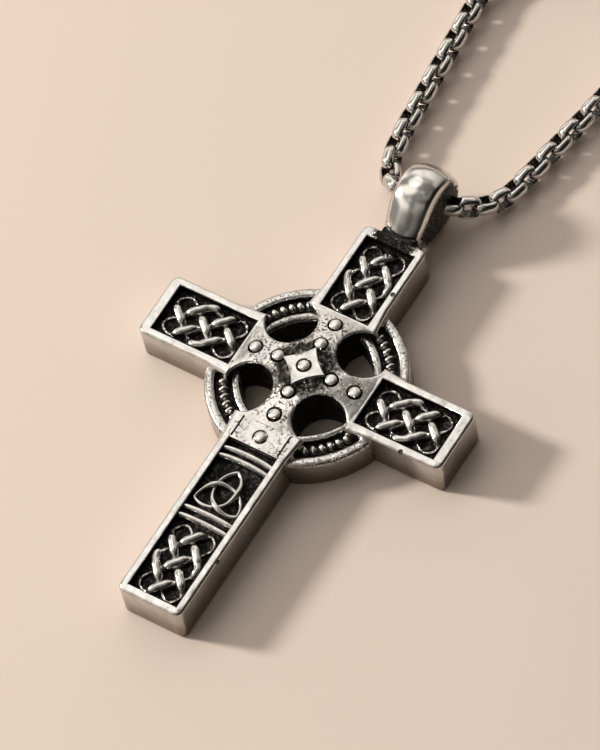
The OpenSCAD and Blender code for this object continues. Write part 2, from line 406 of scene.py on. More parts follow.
# %% The plate and its openings
plate_reach = arm_start + 0.2
beyond = 9
plate = block("middle_plate", (-plate_reach, -plate_reach, 0), (plate_reach, plate_reach, thick))
corners = [(x, y) for x in (-1, 1) for y in (-1, 1)]
for x, y in corners:
    hole = rod("hole", (x * hole_at, y * hole_at, thick / 2), hole_r, 2 * thick, sides=72)
    low = [min(x * flare_w, x * beyond), min(y * flare_w, y * beyond), -1]
    high = [max(x * flare_w, x * beyond), max(y * flare_w, y * beyond), thick + 1]
    cut_away(plate, hole, block("corner", low, high))


def from_hole(spot):
    return min(math.hypot(spot.x - x * hole_at, spot.y - y * hole_at) for x, y in corners)


def hole_edge(a, b):
    level = abs(a.z - b.z) < 0.01 and (a.z > thick - 0.01 or a.z < 0.01)
    at_hole = from_hole(a) < hole_r + 0.02 and from_hole(b) < hole_r + 0.02
    at_corner = all(min(abs(p.x), abs(p.y)) > flare_w - 0.01 for p in (a, b))
    return level and (at_hole or at_corner)


round_edges(plate, 0.22, 3, hole_edge)
count_faces(plate)

# %% The places of the bosses and their recesses
boss_r = 0.59
recess_r = 0.8
recess_depth = 0.26
low_boss = 8.25
star_rise = 0.36
boss_rows = (3.0, 5.6)
boss_spots = [(r * math.cos(math.radians(a)), r * math.sin(math.radians(a)))
              for a in (0, 90, 180, 270) for r in boss_rows]

for x, y in boss_spots:
    cut_away(plate, rod("recess", (x, y, thick), recess_r, 2 * recess_depth, sides=28))
cut_away(shaft, rod("recess", (0, -low_boss, thick), recess_r, 2 * recess_depth, sides=28))
print("cut", len(boss_spots) + 1, "recesses")

# %% The dome is raised
net_step = 0.55
net = [i * net_step for i in range(-12, 13)]
slice_along(plate, 0, net)
slice_along(plate, 1, net)


def domed(p):
    rise = dome_rise(math.hypot(p.x, p.y))
    return p.x, p.y, p.z + (max(rise, -0.05) if p.z > thick / 2 else 0)


reshape(plate, domed)
print("the dome rises", dome_h, "mm over the rims")


def dome_tarnish_and_shade(p):
    r = math.hypot(p.x, p.y)
    top = thick + dome_rise(r)
    # Below the top the boss recesses are black oxide, and the walls of the holes are nearly black,
    # partly oxide and partly painted shade of the deep holes.
    if p.z < top - recess_depth * 0.7:
        in_recess = min(math.hypot(p.x - x, p.y - y) for x, y in boss_spots) < recess_r + 0.05
        return 1.0 if in_recess else 0.8
    round_star = 0.74 * ramp(r, 1.0, 1.8) * (1 - ramp(r, 2.4, 4.6))
    at_hole = 1 - ramp(from_hole(p), hole_r + 0.1, hole_r + 0.7)
    beside_hole = 0.55 * at_hole * (1 - ramp(r, 4.5, 6.0))
    return max(round_star, beside_hole)


def dome_pitting(p):
    return 1 - 0.75 * ramp(math.hypot(p.x, p.y), 5.9, 6.8)


finish_rule(plate, dome_tarnish_and_shade, dome_pitting)
shade(plate, 40)

# %% [markdown]
# ## The star and the bosses
#
# A star with hollow sides lies on the dome. Its outline is a round disc whose rim is drawn
# in towards the middle wherever one of four circles bites into it. The bosses are low domes
# that stand in their black recesses, made once and copied.

# %% The star
star_reach = 2.35
star_hollow, star_lip = 0.04, 0.06
bite_r = star_reach * 2.92
bite_at = star_reach * 3.54
star = rod("star", (0, 0, thick - 0.2), star_reach, 0.4, sides=96)
pick(star, "FACE", lambda spot, normal: normal.z > 0.9)
for width in (0.12, 0.5, 0.6, 0.33, 0.03):
    bpy.ops.mesh.inset(thickness=width * MM)
bpy.ops.transform.translate(value=(0, 0, -0.2 * MM))
done()


def star_edge(angle):
    """The star's reach in a direction, from its own size and the four bites."""
    off = math.radians((math.degrees(angle) % 90) - 45)
    inside = bite_r ** 2 - (bite_at * math.sin(off)) ** 2
    if inside <= 0:
        return star_reach
    return min(star_reach, bite_at * math.cos(off) - math.sqrt(inside))


def star_shape(p):
    r = math.hypot(p.x, p.y)
    angle = math.atan2(p.y, p.x)
    drawn = ramp(r, recess_r + 0.05, star_reach)
    new_r = r * (1 - drawn + drawn * star_edge(angle) / star_reach)
    hollow = star_hollow * math.sin(math.pi * min(1, r / star_reach))
    rise = dome_rise(new_r) + star_rise - (hollow if p.z > thick - 0.1 else 0)
    if p.z > thick - 0.01 and r > star_reach - 0.02:
        rise -= star_lip
    return new_r * math.cos(angle), new_r * math.sin(angle), p.z + rise


reshape(star, star_shape)


def star_tarnish(p):
    """Black in the recess round the boss and at the foot of the star's sides."""
    r = math.hypot(p.x, p.y)
    top = thick + dome_rise(r) + star_rise
    in_recess = r < recess_r and p.z < top - 0.12
    return 1.0 if in_recess or p.z < top - 0.25 else 0.0


finish_rule(star, star_tarnish)
shade(star, 35)
count_faces(star)

# %% The bosses
boss_h, boss_power = 0.27, 0.42
boss_sunk, middle_boss_sunk = 0.05, 0.14
boss = ball("boss", (0, 0, 0), (boss_r, boss_r, boss_h), around=28, rings=18)
reshape(boss, lambda p: (p.x, p.y, math.copysign(boss_h * (abs(p.z) / boss_h) ** boss_power, p.z)))
finish_rule(boss, lambda p: 1 - ramp(p.z, 0.1, 0.2), 0.15)
shade(boss, 60)
bosses = []
for x, y in boss_spots:
    on_dome = thick + dome_rise(math.hypot(x, y))
    bosses.append(copied(boss, "boss_at", shift_by((x, y, on_dome - boss_sunk))))
bosses.append(copied(boss, "boss_at", shift_by((0, -low_boss, thick - boss_sunk))))
on_star = thick + dome_h + star_rise
bosses.append(copied(boss, "boss_at", shift_by((0, 0, on_star - middle_boss_sunk))))
bpy.data.objects.remove(boss)
print("made", len(bosses), "bosses")

# %% [markdown]
# ## The ring
#
# The ring that joins the arms is a turned shape: two round rims with a black groove between
# them. Its end view is drawn once, as a flat face whose top corners are rounded, and is then
# spun about the middle. Between every two arms six oval beads lie a little aslant in the
# groove.

# %% The ring's end view, spun round
ring_in, ring_out = 6.4, 10.0
ring_drop, ring_groove, rim_round = 0.95, 0.6, 0.42
ring_top = thick - ring_drop
groove_in, groove_out = ring_in + 0.9, ring_out - 1.1
groove_z = ring_top - ring_groove


def outward(piece):
    """Merges doubled points and turns every face outwards."""
    edit(piece)
    bpy.ops.mesh.remove_doubles(threshold=0.002 * MM)
    bpy.ops.mesh.normals_make_consistent(inside=False)
    done()


look_at_only(None)
bpy.ops.mesh.primitive_plane_add(size=1)
ring_middle = ((ring_in + ring_out) / 2 * MM, 0, ring_top / 2 * MM)
ring = settled("ring", ring_middle, (90, 0, 0), ((ring_out - ring_in) * MM, ring_top * MM, 1))
slice_along(ring, 0, [groove_in, groove_out])
slice_along(ring, 2, [groove_z])
pick(ring, "FACE", lambda spot, normal: groove_in < spot.x < groove_out and spot.z > groove_z)
bpy.ops.mesh.delete(type="FACE")
pick(ring, "FACE", lambda spot, normal: True)
bpy.ops.mesh.dissolve_faces()
done()


def rim_corner(spot):
    on_side = min(abs(spot.x - r) for r in (ring_in, groove_in, groove_out, ring_out)) < 0.01
    return on_side and spot.z > ring_top - 0.01


pick(ring, "VERT", rim_corner)
bpy.ops.mesh.bevel(offset=rim_round * MM, segments=5, affect="VERTICES")
bpy.ops.mesh.select_all(action="SELECT")
bpy.ops.mesh.delete(type="ONLY_FACE")
bpy.ops.mesh.select_all(action="SELECT")
bpy.ops.mesh.spin(steps=160, angle=2 * math.pi, center=(0, 0, 0), axis=(0, 0, 1))
done()
outward(ring)


def ring_tarnish_and_shade(p):
    r = math.hypot(p.x, p.y)
    if groove_in - 0.3 < r < groove_out + 0.3:
        return 1 - ramp(p.z, ring_top - 0.22, ring_top)
    # The inner wall faces the holes and is nearly black: partly oxide, partly painted shade.
    return 0.8 if r < ring_in + 0.02 else 0.34


finish_rule(ring, ring_tarnish_and_shade, lambda p: 0.7 if p.z > ring_top - 0.5 else 0.1)
shade(ring, 50)
count_faces(ring)

# %% The beads in the groove
bead_at = (groove_in + groove_out) / 2
bead_step, beads_in_a_row = 6, 6
bead_size, bead_turn, bead_lift = (0.53, 0.35, 0.42), 16, 0.2
bead = ball("bead", (0, 0, 0), bead_size, turn=bead_turn, around=16, rings=10)
finish_rule(bead, lambda p: 1 - ramp(p.z, -0.05, 0.08), 0.1)
shade(bead, 70)
bead.data.transform(shift_by((bead_at, 0, groove_z + bead_lift)))
beads = []
for quarter in range(4):
    for i in range(beads_in_a_row):
        off_middle = bead_step * (i - (beads_in_a_row - 1) / 2)
        beads.append(copied(bead, "bead_at", turn_by(45 + 90 * quarter + off_middle)))
bpy.data.objects.remove(bead)
print("made", len(beads), "beads")

# %% [markdown]
# ## The plaited knots
#
# Each panel holds a knot of one endless strand. A strand could be carved out of a slab, but
# a tube along a path can swell and rise where it passes over another and thin out and sink
# where it passes under, which is how the real strands look. The walk goes diagonally over a
# lattice and turns back at its borders, like a ball on a billiard table, until it is home.
# At the panel's long sides the strand stays fat round half of its turn, and at the corners
# it is a thin dark loop.

# %% The walk over the lattice
knot_dx, knot_dy = 1.3, 1.45
columns, rows = 2, 3
walk_start = (0, -2, 1, 1)


def knot_walk():
    i, j, step_i, step_j = walk_start
    walk = []
    while not walk or (i, j, step_i, step_j) != walk_start:
        walk.append((i, j, step_i, step_j))
        if abs(i + step_i) > columns:
            step_i = -step_i
        if abs(j + step_j) > rows:
            step_j = -step_j
        i += step_i
        j += step_j
    return walk


def passes_over(i, j, step_i, step_j):
    inside = abs(i) < columns and abs(j) < rows
    return inside and (i == 0) == (step_i * step_j > 0)


walk = knot_walk()
print("the strand takes", len(walk), "steps")


# %% The flat path of the strand
def smoothed(points, reach):
    """A moving average round a closed line, which rounds its corners."""
    count = len(points)
    out = []
    for k in range(count):
        near = [points[(k + m) % count] for m in range(-reach, reach + 1)]
        out.append(tuple(sum(p[axis] for p in near) / len(near) for axis in range(2)))
    return out


fine, corner_reach = 10, 4
flat = []
for k, (i, j, step_i, step_j) in enumerate(walk):
    next_i, next_j = walk[(k + 1) % len(walk)][:2]
    for m in range(fine):
        share = m / fine
        flat.append(((i + (next_i - i) * share) * knot_dx, (j + (next_j - j) * share) * knot_dy))
flat = smoothed(smoothed(flat, corner_reach), corner_reach)
print("the path has", len(flat), "points")


# %% A tube with a thickness and a height that change along it
def strand_tube(name, points, radii):
    line = bpy.data.curves.new(name, "CURVE")
    line.dimensions = "3D"
    line.bevel_depth = MM
    line.bevel_resolution = 3
    spline = line.splines.new("POLY")
    spline.points.add(len(points) - 1)
    for spot, point, radius in zip(spline.points, points, radii):
        spot.co = (*(Vector(point) * MM), 1)
        spot.radius = radius
    spline.use_cyclic_u = True
    tube = bpy.data.objects.new(name, line)
    bpy.context.collection.objects.link(tube)
    look_at_only(tube)
    bpy.ops.object.convert(target="MESH")
    return bpy.context.object


def swell(distance, reach):
    """1 on top of a crossing, 0 from reach steps away."""
    return math.cos(math.pi / 2 * min(1.0, distance / reach)) ** 2


# %% The knot
thin, fat = 0.2, 0.515
low_z, high_z = 0.05, 0.36
tops = [k for k, step in enumerate(walk) if passes_over(*step)]
side_turns = [k for k, step in enumerate(walk) if abs(step[0]) == columns and step[1] == 0]


def steps_to(place, marks):
    """How many steps a place on the closed walk is from the nearest mark."""
    return min(min(abs(place - mark), len(walk) - abs(place - mark)) for mark in marks)


def turn_share(place):
    """A side turn is fat on the side of its crossing on top, and thins out past its bend."""
    for turn in side_turns:
        uphill = 1 if passes_over(*walk[(turn + 1) % len(walk)]) else -1
        off = uphill * ((place - turn + len(walk) / 2) % len(walk) - len(walk) / 2)
        if -1 < off <= 1:
            return 0.85 * (1 - ramp(-off, 0.0, 0.6))
    return 0


points, radii = [], []
for k, (x, y) in enumerate(flat):
    full = max(1 - ramp(steps_to(k / fine, tops), 0.3, 0.9), turn_share(k / fine))
    points.append((x, y, low_z + (high_z - low_z) * full))
    radii.append(thin + (fat - thin) * full)
knot = strand_tube("knot", points, radii)
finish_rule(knot, lambda p: 1 - ramp(p.z, 0.12, 0.36), 0.1)
shade(knot, 80)
count_faces(knot)


# %% The knot's copies in the four panels
def arm_mid(reach):
    return (panel_start + reach - rim_w - end_margin) / 2


below_bars = 19.1
shaft_mid = (below_bars + shaft_reach - rim_w) / 2
knots = []
for turn, middle in ((0, arm_mid(head_reach)), (90, arm_mid(arm_reach)), (-90, arm_mid(arm_reach)),
                     (0, -shaft_mid)):
    knots.append(copied(knot, "knot_at", shift_by((0, middle, floor_z)), turn_by(turn)))
bpy.data.objects.remove(knot)
print("laid", len(knots), "knots")

# %% [markdown]
# ## The threefold knot and the bars
#
# Three half circles, each drawn about the point where the other two meet, make one strand
# with three points. It passes over itself once on each half circle. Above and below it a
# pair of bars crosses the shaft, thinner and a little bowed towards their ends.

# %% The threefold knot
trefoil_r = 2.42
trefoil_mid = 15.1
arc_steps = 30
points, radii = [], []
for centre_angle, first in ((150, 60), (270, 180), (30, 300)):
    outward_angle = math.radians(centre_angle)
    centre = Vector((math.cos(outward_angle), math.sin(outward_angle))) * trefoil_r / math.sqrt(3)
    for k in range(arc_steps):
        along = 180 * k / arc_steps
        angle = math.radians(first - along)
        lift = swell(abs(along - 60), 45)
        points.append((centre.x + trefoil_r * math.cos(angle), centre.y + trefoil_r * math.sin(angle),
                       0.22 + 0.28 * lift))
        radii.append(0.18 + 0.12 * lift)
trefoil = strand_tube("threefold_knot", points, radii)
trefoil.data.transform(shift_by((0, -trefoil_mid, floor_z)))
finish_rule(trefoil, lambda p: 1 - ramp(p.z - floor_z, 0.1, 0.34), 0.1)
shade(trefoil, 80)
count_faces(trefoil)

# %% The bars over and under the threefold knot
bars = []
bar_r, bar_z = 0.27, floor_z + 0.3
bar_places = ((10.5, 0.2), (11.4, 0.2), (17.7, 0.1), (18.7, 0.1))
for y, bow in bar_places:
    bar = rod("bar", (0, -y, bar_z), bar_r, 2 * panel_half + 0.05, turn=(0, 90, 0), sides=20)
    slice_along(bar, 0, [panel_half * i / 5 for i in range(-4, 5)])

    def bowed(p):
        across = abs(p.x) / panel_half
        slim = 1 - 0.2 * across ** 4
        bowed_y = -y + (p.y + y) * slim + bow * (1 - across ** 2)
        return p.x, bowed_y, bar_z + (p.z - bar_z) * 1.35 * slim

    reshape(bar, bowed)
    finish_rule(bar, lambda p: 1 - ramp(p.z - floor_z, 0.3, 0.5), 0.25)
    shade(bar, 60)
    bars.append(bar)
print("laid", len(bars), "bars")


# %% The casting, all its parts joined
def joined(name, pieces):
    look_at_only(pieces[0])
    for piece in pieces:
        piece.select_set(True)
    bpy.ops.object.join()
    pieces[0].name = name
    pieces[0].data.name = name
    return pieces[0]


relief = [*knots, *bosses, *beads, *bars]
casting = joined("casting", [plate, shaft, ring, star, trefoil, *arms[:3], *relief])
apply_modifier(casting, "WEIGHTED_NORMAL", keep_sharp=True, weight=60)
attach(casting, "root")
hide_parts("cross")
print("the casting has", sum(len(f.vertices) - 2 for f in casting.data.polygons), "triangles")

# %% [markdown]
# ## The bail
#
# The bail is a thin band, bent round into an eye and domed across its width, whose two ends
# come together at the foot. A tube without ends is the quickest start: its middle rings are
# pushed out for the dome, and the side towards the foot is drawn out into a teardrop. The
# inner wall is a second, plainer tube, and the two are bridged along their rims.

# %% The band's two walls
bail_low, bail_high = (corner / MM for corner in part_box("bail"))
eye_r, eye_open_r, eye_rise = 3.75, 2.75, 4.9
crown, band_t = 0.62, 0.42
drawn_out, drawn_in = 1.35, 1.1
band_w, foot_w = bail_high.x - bail_low.x, 3.9
eye = Vector((0, head_reach + eye_rise, eye_r + 0.02))
foot = Vector((0, head_reach + 0.35, thick - 1.75))
foot_angle = math.atan2(foot.z - eye.z, foot.y - eye.y)


def band_wall(name, radius):
    look_at_only(None)
    bpy.ops.mesh.primitive_cylinder_add(vertices=72, radius=radius * MM, depth=band_w * MM,
                                        end_fill_type="NOTHING")
    wall = settled(name, eye * MM, (0, 90, 0))
    pick(wall, "EDGE", lambda a, b: abs(a.x - b.x) > 1)
    bpy.ops.mesh.subdivide(number_cuts=9)
    done()
    return wall


def foot_share(angle):
    """How near a direction is to the foot's, from 1 down to 0, and how narrow the band is."""
    near_foot = max(0.0, math.cos(angle - foot_angle)) ** 7
    return near_foot, 1 - (1 - foot_w / band_w) * near_foot


def bent(p, radius, drawn):
    """Domes the band across its width and draws it out towards the foot."""
    across = p.x / (band_w / 2)
    angle = math.atan2(p.z - eye.z, p.y - eye.y)
    near_foot, narrow = foot_share(angle)
    r = radius - crown * across ** 2 + drawn * near_foot
    return p.x * narrow, eye.y + r * math.cos(angle), eye.z + r * math.sin(angle)


outer = band_wall("outer_wall", eye_r)
reshape(outer, lambda p: bent(p, eye_r, drawn_out))
inner = band_wall("inner_wall", eye_r - band_t)
reshape(inner, lambda p: bent(p, eye_r - band_t, drawn_in))
bail = joined("bail_band", [outer, inner])
count_faces(bail)

# %% The rims, bridged
def on_rim(piece, side):
    """Picks the edges that belong to only one face, on one side of the band."""
    used = {}
    for face in piece.data.polygons:
        for key in face.edge_keys:
            used[key] = used.get(key, 0) + 1
    open_edges = {key for key, count in used.items() if count == 1}
    pick(piece, "EDGE", lambda a, b: False)
    done()
    for edge in piece.data.edges:
        ends = [piece.data.vertices[i].co.x for i in edge.vertices]
        edge.select = edge.key in open_edges and side * sum(ends) > 0
    bpy.ops.object.mode_set(mode="EDIT")


for side in (-1, 1):
    on_rim(bail, side)
    bpy.ops.mesh.bridge_edge_loops()
    done()
outward(bail)
apply_modifier(bail, "SUBSURF", levels=1, render_levels=1)


def painted_eye_shade(p):
    """Painted shade: blackens all that lies inside the middle of the band's thickness."""
    near_foot, narrow = foot_share(math.atan2(p.z - eye.z, p.y - eye.y))
    across = p.x / (band_w / 2) / narrow
    middle = eye_r - band_t / 2 - crown * across ** 2 + (drawn_out + drawn_in) / 2 * near_foot
    return 0.7 if math.hypot(p.y - eye.y, p.z - eye.z) < middle - 0.08 else 0.0


finish_rule(bail, painted_eye_shade)
shade(bail, 40)
count_faces(bail)

# %% [markdown]
# ## The solder at the foot
#
# Where the bail is soldered on, the real joint is dark and lumpy. A rounded block between
# the band's foot and the arm's end is enough, with its surface pushed about a little. The
# random numbers start from a fixed seed, so that each run gives the same lumps.

# %% The solder
solder_low = (-foot_w / 2, head_reach - 0.35, 1.15)
solder_high = (foot_w / 2, head_reach + 0.85, thick - 0.3)
solder = block("solder", solder_low, solder_high)
round_edges(solder, 0.35, 3, lambda a, b: True)
pick(solder, "FACE", lambda spot, normal: True)
bpy.ops.mesh.subdivide(number_cuts=5)
done()
lumps = random.Random(4)
reshape(solder, lambda p: p + Vector((0, lumps.uniform(-0.06, 0.06), lumps.uniform(-0.07, 0.07))))
finish_rule(solder, lambda p: 0.8, 1.0)
shade(solder, 60)
bail = joined("bail_band", [bail, solder])
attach(bail, "root")
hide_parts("bail")
count_faces(bail)

# %% [markdown]
# ## The links
#
# A link of a box chain is a short, flat band bent into a ring. A cube with its two open
# sides inset and bridged gives the ring, and a wide bevel on its outer edges gives the
# pillow-like faces that catch the light. It is made once, and each place in the strand gets
# a copy. Neighbours stand square to each other.

# %% One link
link_len, link_h, link_w, link_t = 2.85, 2.36, 0.96, 0.5
band_swell = 1.28


def make_link(name, outer_round, outer_steps, edge_round, edge_steps):
    corner = (link_len / 2, link_w / 2, link_h / 2)
    link = block(name, [-c for c in corner], corner)
    pick(link, "EDGE", lambda a, b: abs(a.y - b.y) > link_w / 2)
    bpy.ops.mesh.bevel(offset=outer_round * MM, segments=outer_steps, affect="EDGES")
    done()
    pick(link, "FACE", lambda spot, normal: abs(normal.y) > 0.9)
    bpy.ops.mesh.inset(thickness=link_t * MM)
    bpy.ops.mesh.bridge_edge_loops()
    done()

    def outer_edge(a, b):
        """Whether this is a long edge of the band's outer face."""
        outside = all(abs(p.x) > link_len / 2 - 0.8 * link_t or abs(p.z) > link_h / 2 - 0.8 * link_t
                      for p in (a, b))
        return outside and abs(a.y - b.y) < 0.01 and abs(a.y) > link_w / 2 - 0.01

    round_edges(link, edge_round, edge_steps, outer_edge)
    reshape(link, lambda p: (p.x, p.y * band_swell, p.z))

    # Painted shade: the band's inner faces, which its neighbours shade, are marked dark, and the
    # chain's material turns them black.
    def painted_inner_shade(p):
        within = max(abs(p.x) - (link_len / 2 - link_t), abs(p.z) - (link_h / 2 - link_t))
        return 0.66 * (1 - ramp(within, 0.0, 0.22))

    finish_rule(link, painted_inner_shade)
    shade(link, 50)
    return link


fine_link = make_link("fine_link", 1.05, 8, 0.46, 6)
plain_link = make_link("plain_link", 0.75, 2, 0.3, 1)
count_faces(fine_link)
count_faces(plain_link)

# %% [markdown]
# ## The lay of the chain
#
# The strand's way is not a list of points: a chain turns a little at each link, so the lay
# is the heading of its links, and each place follows from the one before. The strands run
# from the bail to the coil in which the rest of the chain is put away.

# %% The strand's places, as in the part's source
link_play = 0.16
pitch = link_len - 2 * link_t - link_play
lay_right = [(0, 8), (1, 24), (2, 40), (3, 54), (4, 66), (5, 75), (6, 80), (12, 80), (14, 88),
             (20, 112)]
lay_left = [(0, 188), (1, 182), (2, 170), (3, 147), (4, 126), (5, 110), (6, 100), (8, 95), (17, 95),
            (21, 34), (26, 28), (31, 56)]
links_left, links_right = 18, 13
run_right, run_left = 18, 31
lean = math.radians(22.5)
rest_z = link_h / 2 * math.cos(lean) + link_w / 2 * math.sin(lean) + 0.03
chain_r, eye_clear = math.hypot(link_h, link_w) / 2, 1.2
bail_lift = eye.z - math.sqrt((eye_open_r - chain_r) ** 2 - eye_clear ** 2) - rest_z
chain_start = (0.6, eye.y + 0.75)
step_down = 0.55
drop_links = math.ceil(bail_lift / step_down)


def lookup(value, table):
    """Reads between a table's entries, and holds its first and last."""
    if value <= table[0][0]:
        return table[0][1]
    for (a, at_a), (b, at_b) in zip(table, table[1:]):
        if value <= b:
            return at_a + (at_b - at_a) * (value - a) / (b - a)
    return table[-1][1]


def strand_places(lay, count):
    places = [Vector(chain_start)]
    for k in range(count):
        heading = math.radians(lookup(k + 0.5, lay))
        places.append(places[-1] + pitch * Vector((math.cos(heading), math.sin(heading))))
    return places


def lift(k):
    return rest_z + lookup(k, [(1, bail_lift), (1 + drop_links, 0)])


def roll(k):
    return 67.5 + 90 * k - lookup(k, [(-4, 0), (1, 45)])


places_right = strand_places(lay_right, run_right)
places_left = strand_places(lay_left, run_left)
print("the strands end at", [tuple(round(c, 1) for c in p[-1]) for p in (places_right, places_left)])


def link_place(k):
    """The matrix that puts a link in the strand, in metres."""
    n, side = abs(k), (-1 if k < 0 else 1)
    spot = (places_left if k < 0 else places_right)[n]
    slope = math.atan((lift(n + 0.5) - lift(n - 0.5)) / pitch) * side
    turn = 8 if k == 0 else lookup(n, lay_left if k < 0 else lay_right) + (180 if k < 0 else 0)
    return (Matrix.Translation((spot.x * MM, spot.y * MM, lift(n) * MM))
            @ turn_by(turn) @ Matrix.Rotation(-slope, 4, "Y") @ turn_by(-roll(k), "X"))


# %% The links that lie apart
links = []
for k in range(-links_left, links_right + 1):
    node = f"link_{k + links_left + 1:02d}"
    link = copied(fine_link, node + "_band", link_place(k))
    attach(link, "root")
    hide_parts(node)
    links.append(link)
print("made", len(links), "links")

# %% [markdown]
# ## The coil
#
# The rest of the chain winds round in two layers, one for each strand, down to the clasp in
# the middle. A spiral gives the places: the radius shrinks by a little more than a link's
# height in each turn, and a step along it is always one pitch. The upper strand first climbs
# onto the lower one.

# %% The two spirals
coil_r, turn_gap, settle_links = 14.3, 2.62, 9
low_end, high_end = 8.05, 7.12
heading = math.radians(lookup(run_right, lay_right) - 90)
coil_at = places_right[-1] + coil_r * Vector((math.cos(heading), math.sin(heading)))


def spiral(start, settling, r_end, rise):
    """Places clockwise round the coil, from a start point: (x, y, z, heading)."""
    r = (start - coil_at).length
    angle = math.atan2(start.y - coil_at.y, start.x - coil_at.x)
    out = []
    while r > r_end:
        step = pitch / r
        angle -= step
        if len(out) < settling:
            r -= (r - coil_r) / (settling - len(out))
        else:
            r -= turn_gap * step / (2 * math.pi)
        z = rest_z + rise * ramp(len(out), 0, max(1, settling))
        out.append((coil_at.x + r * math.cos(angle), coil_at.y + r * math.sin(angle), z,
                    math.degrees(angle) - 90))
    return out


upper_layer = 2 * rest_z + 0.1
low_spiral = spiral(places_right[-1], 0, low_end, 0)
high_spiral = spiral(places_left[-1], settle_links, high_end, upper_layer)
total = len(low_spiral) + len(high_spiral) + run_left + run_right + 1
print("the chain has", total, "links and is", round(total * pitch), "mm long")
print("left strand meets the coil at", round((places_left[-1] - coil_at).length, 2))

# %% The coil's links, joined
to_coil = [*range(links_right + 1, run_right + 1), *range(-links_left - 1, -run_left - 1, -1)]
coiled = [copied(plain_link, "coil_link", link_place(k)) for k in to_coil]
for places, first in ((low_spiral, run_right + 1), (high_spiral, run_left + 1)):
    for n, (x, y, z, turn) in enumerate(places):
        at = Matrix.Translation((x * MM, y * MM, z * MM))
        matrix = at @ turn_by(turn) @ turn_by(-roll(first + n), "X")
        coiled.append(copied(plain_link, "coil_link", matrix))
coil = joined("coil_links", coiled)
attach(coil, "root")
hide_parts("chain_coil")
bpy.data.objects.remove(fine_link)
bpy.data.objects.remove(plain_link)
count_faces(coil)

# %% [markdown]
# ## The clasp
#
# A flat snap clasp lies in the middle of the coil, between the chain's two ends. It is a
# plate with round ends, a slot and a small eye: a block with its corners rounded, from which
# the slot and the eye are cut. The outer edges are rounded before the cuts, because a bevel
# that meets the slot's rim twists its faces.

# %% The clasp
clasp_low, clasp_high = (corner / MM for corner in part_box("clasp"))
clasp_len, clasp_w = clasp_high.x - clasp_low.x, clasp_high.y - clasp_low.y
clasp = block("clasp_plate", clasp_low, clasp_high)
round_edges(clasp, clasp_w * 0.48, 10, lambda a, b: abs(a.z - b.z) > 1)
round_edges(clasp, 0.3, 3, lambda a, b: abs(a.z - b.z) < 0.01)
slot_half, slot_end, slot_start = clasp_w * 0.25, clasp_len * 0.37, clasp_len * 0.13
slot = block("slot", (coil_at.x - slot_start, coil_at.y - slot_half, -1),
             (coil_at.x + slot_end, coil_at.y + slot_half, 4))
round_edges(slot, clasp_w * 0.24, 8, lambda a, b: abs(a.z - b.z) > 1)
eye_spot, clasp_eye_r = (coil_at.x - clasp_len * 0.38, coil_at.y, 1), clasp_w * 0.175
cut_away(clasp, slot, rod("eye", eye_spot, clasp_eye_r, 4, sides=24))
shade(clasp, 40)
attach(clasp, "root")
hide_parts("clasp")
count_faces(clasp)

# %% [markdown]
# ## Steel, its black finish and painted shade
#
# All the pieces are one bright steel, worked in different ways. The casting keeps a slightly
# wavy skin, and where the tarnish_and_shade attribute is high the steel gives way to a dull
# black oxide, with an edge broken up by noise; on the walls of the holes this black is partly
# painted shade. Specks come from a finer noise that the pitting attribute lets through, and
# the heat of the solder has burnt the arm's end. The casting's side walls are painted darker
# and browner towards the bottom, a painted shade of the table they reflect. The bail and the
# links are polished, with painted shade making them black inside, and the clasp keeps only a
# haze of fine wear.

